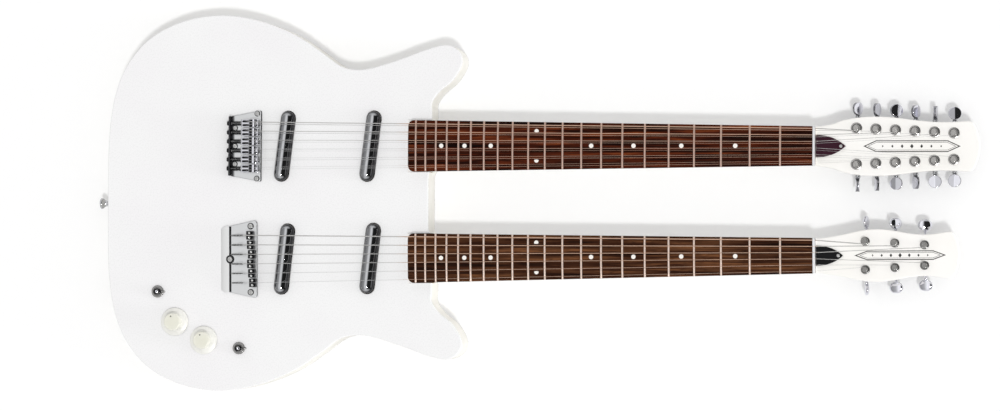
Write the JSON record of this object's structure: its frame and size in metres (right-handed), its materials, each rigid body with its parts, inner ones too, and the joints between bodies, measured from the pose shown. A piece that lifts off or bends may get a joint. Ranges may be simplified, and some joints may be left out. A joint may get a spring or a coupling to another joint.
{
  "type": "double-neck electric guitar",
  "caption": "Double-neck electric guitar with a slim horned body, a twelve-string neck above a six-string neck, tube pickups, turning knobs and tuners.",
  "frame": {"origin": "on the back face, on the middle line of the body, under the saddles", "axes": "+X towards the headstocks, +Y towards the twelve-string side, +Z out of the face"},
  "size_m": [1.0066, 0.4294, 0.0551],
  "materials": {
    "body_paint": "white lacquer on hardboard",
    "side_vinyl": "pale grained vinyl strip",
    "frame_wood": "sawn softwood",
    "neck_paint": "cream-white satin lacquer on wood",
    "rosewood": "oiled dark red-brown wood",
    "cover_plastic": "dark moulded plastic",
    "string_metal": "nickel wound and plain steel, with aluminium nuts",
    "post_nickel": "nickel plate",
    "knob_plastic": "cream moulded plastic",
    "chrome": "bright chrome plate"
  },
  "bodies": {
    "guitar": {"body_frame": "frame_wood", "side_tape": "side_vinyl", "back_board": "body_paint", "top_board": "body_paint", "neck_12": "neck_paint", "fingerboard_12": "rosewood", "truss_rod_cover_12": "cover_plastic", "bridge_12": "chrome", "string_set_12": "string_metal", "pickup_12_bridge": "chrome", "pickup_12_neck": "chrome", "neck_6": "neck_paint", "fingerboard_6": "rosewood", "truss_rod_cover_6": "cover_plastic", "bridge_6": "chrome", "string_set_6": "string_metal", "pickup_6_bridge": "chrome", "pickup_6_neck": "chrome", "output_jack": "chrome", "strap_button_tail": "chrome"},
    "tuner_post_12_bass_1": {"tuner_post_12_bass_1": "post_nickel"},
    "tuner_button_12_bass_1": {"tuner_button_12_bass_1": "chrome"},
    "tuner_post_12_bass_2": {"tuner_post_12_bass_2": "post_nickel"},
    "tuner_button_12_bass_2": {"tuner_button_12_bass_2": "chrome"},
    "tuner_post_12_bass_3": {"tuner_post_12_bass_3": "post_nickel"},
    "tuner_button_12_bass_3": {"tuner_button_12_bass_3": "chrome"},
    "tuner_post_12_bass_4": {"tuner_post_12_bass_4": "post_nickel"},
    "tuner_button_12_bass_4": {"tuner_button_12_bass_4": "chrome"},
    "tuner_post_12_bass_5": {"tuner_post_12_bass_5": "post_nickel"},
    "tuner_button_12_bass_5": {"tuner_button_12_bass_5": "chrome"},
    "tuner_post_12_bass_6": {"tuner_post_12_bass_6": "post_nickel"},
    "tuner_button_12_bass_6": {"tuner_button_12_bass_6": "chrome"},
    "tuner_post_12_treble_1": {"tuner_post_12_treble_1": "post_nickel"},
    "tuner_button_12_treble_1": {"tuner_button_12_treble_1": "chrome"},
    "tuner_post_12_treble_2": {"tuner_post_12_treble_2": "post_nickel"},
    "tuner_button_12_treble_2": {"tuner_button_12_treble_2": "chrome"},
    "tuner_post_12_treble_3": {"tuner_post_12_treble_3": "post_nickel"},
    "tuner_button_12_treble_3": {"tuner_button_12_treble_3": "chrome"},
    "tuner_post_12_treble_4": {"tuner_post_12_treble_4": "post_nickel"},
    "tuner_button_12_treble_4": {"tuner_button_12_treble_4": "chrome"},
    "tuner_post_12_treble_5": {"tuner_post_12_treble_5": "post_nickel"},
    "tuner_button_12_treble_5": {"tuner_button_12_treble_5": "chrome"},
    "tuner_post_12_treble_6": {"tuner_post_12_treble_6": "post_nickel"},
    "tuner_button_12_treble_6": {"tuner_button_12_treble_6": "chrome"},
    "tuner_post_6_bass_1": {"tuner_post_6_bass_1": "post_nickel"},
    "tuner_button_6_bass_1": {"tuner_button_6_bass_1": "chrome"},
    "tuner_post_6_bass_2": {"tuner_post_6_bass_2": "post_nickel"},
    "tuner_button_6_bass_2": {"tuner_button_6_bass_2": "chrome"},
    "tuner_post_6_bass_3": {"tuner_post_6_bass_3": "post_nickel"},
    "tuner_button_6_bass_3": {"tuner_button_6_bass_3": "chrome"},
    "tuner_post_6_treble_1": {"tuner_post_6_treble_1": "post_nickel"},
    "tuner_button_6_treble_1": {"tuner_button_6_treble_1": "chrome"},
    "tuner_post_6_treble_2": {"tuner_post_6_treble_2": "post_nickel"},
    "tuner_button_6_treble_2": {"tuner_button_6_treble_2": "chrome"},
    "tuner_post_6_treble_3": {"tuner_post_6_treble_3": "post_nickel"},
    "tuner_button_6_treble_3": {"tuner_button_6_treble_3": "chrome"},
    "knob_1": {"knob_1": "knob_plastic"},
    "knob_2": {"knob_2": "knob_plastic"},
    "toggle_lever_1": {"toggle_lever_1": "chrome"},
    "toggle_lever_2": {"toggle_lever_2": "chrome"}
  },
  "joints": [
    {"name": "turn_tuner_button_12_bass_1", "type": "hinge", "parent": "guitar", "child": "tuner_button_12_bass_1", "pos_m": [0.68251, 0.08001, 0.0195], "axis": [0.0063, 1, 0], "continuous": true},
    {"name": "turn_tuner_post_12_bass_1", "type": "hinge", "parent": "guitar", "child": "tuner_post_12_bass_1", "pos_m": [0.68251, 0.08001, 0.0395], "axis": [0, 0, 1], "continuous": true},
    {"name": "turn_tuner_button_12_bass_2", "type": "hinge", "parent": "guitar", "child": "tuner_button_12_bass_2", "pos_m": [0.70376, 0.0788, 0.0195], "axis": [0.0063, 1, 0], "continuous": true},
    {"name": "turn_tuner_post_12_bass_2", "type": "hinge", "parent": "guitar", "child": "tuner_post_12_bass_2", "pos_m": [0.70376, 0.0788, 0.0395], "axis": [0, 0, 1], "continuous": true},
    {"name": "turn_tuner_button_12_bass_3", "type": "hinge", "parent": "guitar", "child": "tuner_button_12_bass_3", "pos_m": [0.72502, 0.07759, 0.0195], "axis": [0.0063, 1, 0], "continuous": true},
    {"name": "turn_tuner_post_12_bass_3", "type": "hinge", "parent": "guitar", "child": "tuner_post_12_bass_3", "pos_m": [0.72502, 0.07759, 0.0395], "axis": [0, 0, 1], "continuous": true},
    {"name": "turn_tuner_button_12_bass_4", "type": "hinge", "parent": "guitar", "child": "tuner_button_12_bass_4", "pos_m": [0.74627, 0.07637, 0.0195], "axis": [0.0063, 1, 0], "continuous": true},
    {"name": "turn_tuner_post_12_bass_4", "type": "hinge", "parent": "guitar", "child": "tuner_post_12_bass_4", "pos_m": [0.74627, 0.07637, 0.0395], "axis": [0, 0, 1], "continuous": true},
    {"name": "turn_tuner_button_12_bass_5", "type": "hinge", "parent": "guitar", "child": "tuner_button_12_bass_5", "pos_m": [0.76752, 0.07516, 0.0195], "axis": [0.0063, 1, 0], "continuous": true},
    {"name": "turn_tuner_post_12_bass_5", "type": "hinge", "parent": "guitar", "child": "tuner_post_12_bass_5", "pos_m": [0.76752, 0.07516, 0.0395], "axis": [0, 0, 1], "continuous": true},
    {"name": "turn_tuner_button_12_bass_6", "type": "hinge", "parent": "guitar", "child": "tuner_button_12_bass_6", "pos_m": [0.78878, 0.07394, 0.0195], "axis": [0.0063, 1, 0], "continuous": true},
    {"name": "turn_tuner_post_12_bass_6", "type": "hinge", "parent": "guitar", "child": "tuner_post_12_bass_6", "pos_m": [0.78878, 0.07394, 0.0395], "axis": [0, 0, 1], "continuous": true},
    {"name": "turn_tuner_button_12_treble_1", "type": "hinge", "parent": "guitar", "child": "tuner_button_12_treble_1", "pos_m": [0.68226, 0.04021, 0.0195], "axis": [-0.0063, -1, 0], "continuous": true},
    {"name": "turn_tuner_post_12_treble_1", "type": "hinge", "parent": "guitar", "child": "tuner_post_12_treble_1", "pos_m": [0.68226, 0.04021, 0.0395], "axis": [0, 0, 1], "continuous": true},
    {"name": "turn_tuner_button_12_treble_2", "type": "hinge", "parent": "guitar", "child": "tuner_button_12_treble_2", "pos_m": [0.70353, 0.04116, 0.0195], "axis": [-0.0063, -1, 0], "continuous": true},
    {"name": "turn_tuner_post_12_treble_2", "type": "hinge", "parent": "guitar", "child": "tuner_post_12_treble_2", "pos_m": [0.70353, 0.04116, 0.0395], "axis": [0, 0, 1], "continuous": true},
    {"name": "turn_tuner_button_12_treble_3", "type": "hinge", "parent": "guitar", "child": "tuner_button_12_treble_3", "pos_m": [0.72479, 0.04211, 0.0195], "axis": [-0.0063, -1, 0], "continuous": true},
    {"name": "turn_tuner_post_12_treble_3", "type": "hinge", "parent": "guitar", "child": "tuner_post_12_treble_3", "pos_m": [0.72479, 0.04211, 0.0395], "axis": [0, 0, 1], "continuous": true},
    {"name": "turn_tuner_button_12_treble_4", "type": "hinge", "parent": "guitar", "child": "tuner_button_12_treble_4", "pos_m": [0.74606, 0.04305, 0.0195], "axis": [-0.0063, -1, 0], "continuous": true},
    {"name": "turn_tuner_post_12_treble_4", "type": "hinge", "parent": "guitar", "child": "tuner_post_12_treble_4", "pos_m": [0.74606, 0.04305, 0.0395], "axis": [0, 0, 1], "continuous": true},
    {"name": "turn_tuner_button_12_treble_5", "type": "hinge", "parent": "guitar", "child": "tuner_button_12_treble_5", "pos_m": [0.76733, 0.044, 0.0195], "axis": [-0.0063, -1, 0], "continuous": true},
    {"name": "turn_tuner_post_12_treble_5", "type": "hinge", "parent": "guitar", "child": "tuner_post_12_treble_5", "pos_m": [0.76733, 0.044, 0.0395], "axis": [0, 0, 1], "continuous": true},
    {"name": "turn_tuner_button_12_treble_6", "type": "hinge", "parent": "guitar", "child": "tuner_button_12_treble_6", "pos_m": [0.78859, 0.04494, 0.0195], "axis": [-0.0063, -1, 0], "continuous": true},
    {"name": "turn_tuner_post_12_treble_6", "type": "hinge", "parent": "guitar", "child": "tuner_post_12_treble_6", "pos_m": [0.78859, 0.04494, 0.0395], "axis": [0, 0, 1], "continuous": true},
    {"name": "turn_tuner_button_6_bass_1", "type": "hinge", "parent": "guitar", "child": "tuner_button_6_bass_1", "pos_m": [0.69189, -0.04445, 0.0195], "axis": [-0.0063, 1, 0], "continuous": true},
    {"name": "turn_tuner_post_6_bass_1", "type": "hinge", "parent": "guitar", "child": "tuner_post_6_bass_1", "pos_m": [0.69189, -0.04445, 0.0395], "axis": [0, 0, 1], "continuous": true},
    {"name": "turn_tuner_button_6_bass_2", "type": "hinge", "parent": "guitar", "child": "tuner_button_6_bass_2", "pos_m": [0.7242, -0.0464, 0.0195], "axis": [-0.0063, 1, 0], "continuous": true},
    {"name": "turn_tuner_post_6_bass_2", "type": "hinge", "parent": "guitar", "child": "tuner_post_6_bass_2", "pos_m": [0.7242, -0.0464, 0.0395], "axis": [0, 0, 1], "continuous": true},
    {"name": "turn_tuner_button_6_bass_3", "type": "hinge", "parent": "guitar", "child": "tuner_button_6_bass_3", "pos_m": [0.75651, -0.04835, 0.0195], "axis": [-0.0063, 1, 0], "continuous": true},
    {"name": "turn_tuner_post_6_bass_3", "type": "hinge", "parent": "guitar", "child": "tuner_post_6_bass_3", "pos_m": [0.75651, -0.04835, 0.0395], "axis": [0, 0, 1], "continuous": true},
    {"name": "turn_tuner_button_6_treble_1", "type": "hinge", "parent": "guitar", "child": "tuner_button_6_treble_1", "pos_m": [0.69208, -0.07565, 0.0195], "axis": [0.0063, -1, 0], "continuous": true},
    {"name": "turn_tuner_post_6_treble_1", "type": "hinge", "parent": "guitar", "child": "tuner_post_6_treble_1", "pos_m": [0.69208, -0.07565, 0.0395], "axis": [0, 0, 1], "continuous": true},
    {"name": "turn_tuner_button_6_treble_2", "type": "hinge", "parent": "guitar", "child": "tuner_button_6_treble_2", "pos_m": [0.72437, -0.0733, 0.0195], "axis": [0.0063, -1, 0], "continuous": true},
    {"name": "turn_tuner_post_6_treble_2", "type": "hinge", "parent": "guitar", "child": "tuner_post_6_treble_2", "pos_m": [0.72437, -0.0733, 0.0395], "axis": [0, 0, 1], "continuous": true},
    {"name": "turn_tuner_button_6_treble_3", "type": "hinge", "parent": "guitar", "child": "tuner_button_6_treble_3", "pos_m": [0.75666, -0.07095, 0.0195], "axis": [0.0063, -1, 0], "continuous": true},
    {"name": "turn_tuner_post_6_treble_3", "type": "hinge", "parent": "guitar", "child": "tuner_post_6_treble_3", "pos_m": [0.75666, -0.07095, 0.0395], "axis": [0, 0, 1], "continuous": true},
    {"name": "turn_knob_1", "type": "hinge", "parent": "guitar", "child": "knob_1", "pos_m": [-0.09449, -0.1359, 0.045], "axis": [0, 0, 1], "range_deg": [-270, 30]},
    {"name": "turn_knob_2", "type": "hinge", "parent": "guitar", "child": "knob_2", "pos_m": [-0.06, -0.15684, 0.045], "axis": [0, 0, 1], "range_deg": [-270, 30]},
    {"name": "flip_toggle_lever_1", "type": "hinge", "parent": "guitar", "child": "toggle_lever_1", "pos_m": [-0.115, -0.10151, 0.0415], "axis": [0, 1, 0], "range_deg": [-24, 0]},
    {"name": "flip_toggle_lever_2", "type": "hinge", "parent": "guitar", "child": "toggle_lever_2", "pos_m": [-0.01869, -0.16581, 0.0415], "axis": [0, 1, 0], "range_deg": [-24, 0]}
  ],
  "couplings": [
    {"joint": "turn_tuner_post_12_bass_1", "follows": "turn_tuner_button_12_bass_1", "ratio": 0.066667},
    {"joint": "turn_tuner_post_12_bass_2", "follows": "turn_tuner_button_12_bass_2", "ratio": 0.066667},
    {"joint": "turn_tuner_post_12_bass_3", "follows": "turn_tuner_button_12_bass_3", "ratio": 0.066667},
    {"joint": "turn_tuner_post_12_bass_4", "follows": "turn_tuner_button_12_bass_4", "ratio": 0.066667},
    {"joint": "turn_tuner_post_12_bass_5", "follows": "turn_tuner_button_12_bass_5", "ratio": 0.066667},
    {"joint": "turn_tuner_post_12_bass_6", "follows": "turn_tuner_button_12_bass_6", "ratio": 0.066667},
    {"joint": "turn_tuner_post_12_treble_1", "follows": "turn_tuner_button_12_treble_1", "ratio": -0.066667},
    {"joint": "turn_tuner_post_12_treble_2", "follows": "turn_tuner_button_12_treble_2", "ratio": -0.066667},
    {"joint": "turn_tuner_post_12_treble_3", "follows": "turn_tuner_button_12_treble_3", "ratio": -0.066667},
    {"joint": "turn_tuner_post_12_treble_4", "follows": "turn_tuner_button_12_treble_4", "ratio": -0.066667},
    {"joint": "turn_tuner_post_12_treble_5", "follows": "turn_tuner_button_12_treble_5", "ratio": -0.066667},
    {"joint": "turn_tuner_post_12_treble_6", "follows": "turn_tuner_button_12_treble_6", "ratio": -0.066667},
    {"joint": "turn_tuner_post_6_bass_1", "follows": "turn_tuner_button_6_bass_1", "ratio": 0.066667},
    {"joint": "turn_tuner_post_6_bass_2", "follows": "turn_tuner_button_6_bass_2", "ratio": 0.066667},
    {"joint": "turn_tuner_post_6_bass_3", "follows": "turn_tuner_button_6_bass_3", "ratio": 0.066667},
    {"joint": "turn_tuner_post_6_treble_1", "follows": "turn_tuner_button_6_treble_1", "ratio": -0.066667},
    {"joint": "turn_tuner_post_6_treble_2", "follows": "turn_tuner_button_6_treble_2", "ratio": -0.066667},
    {"joint": "turn_tuner_post_6_treble_3", "follows": "turn_tuner_button_6_treble_3", "ratio": -0.066667}
  ]
}
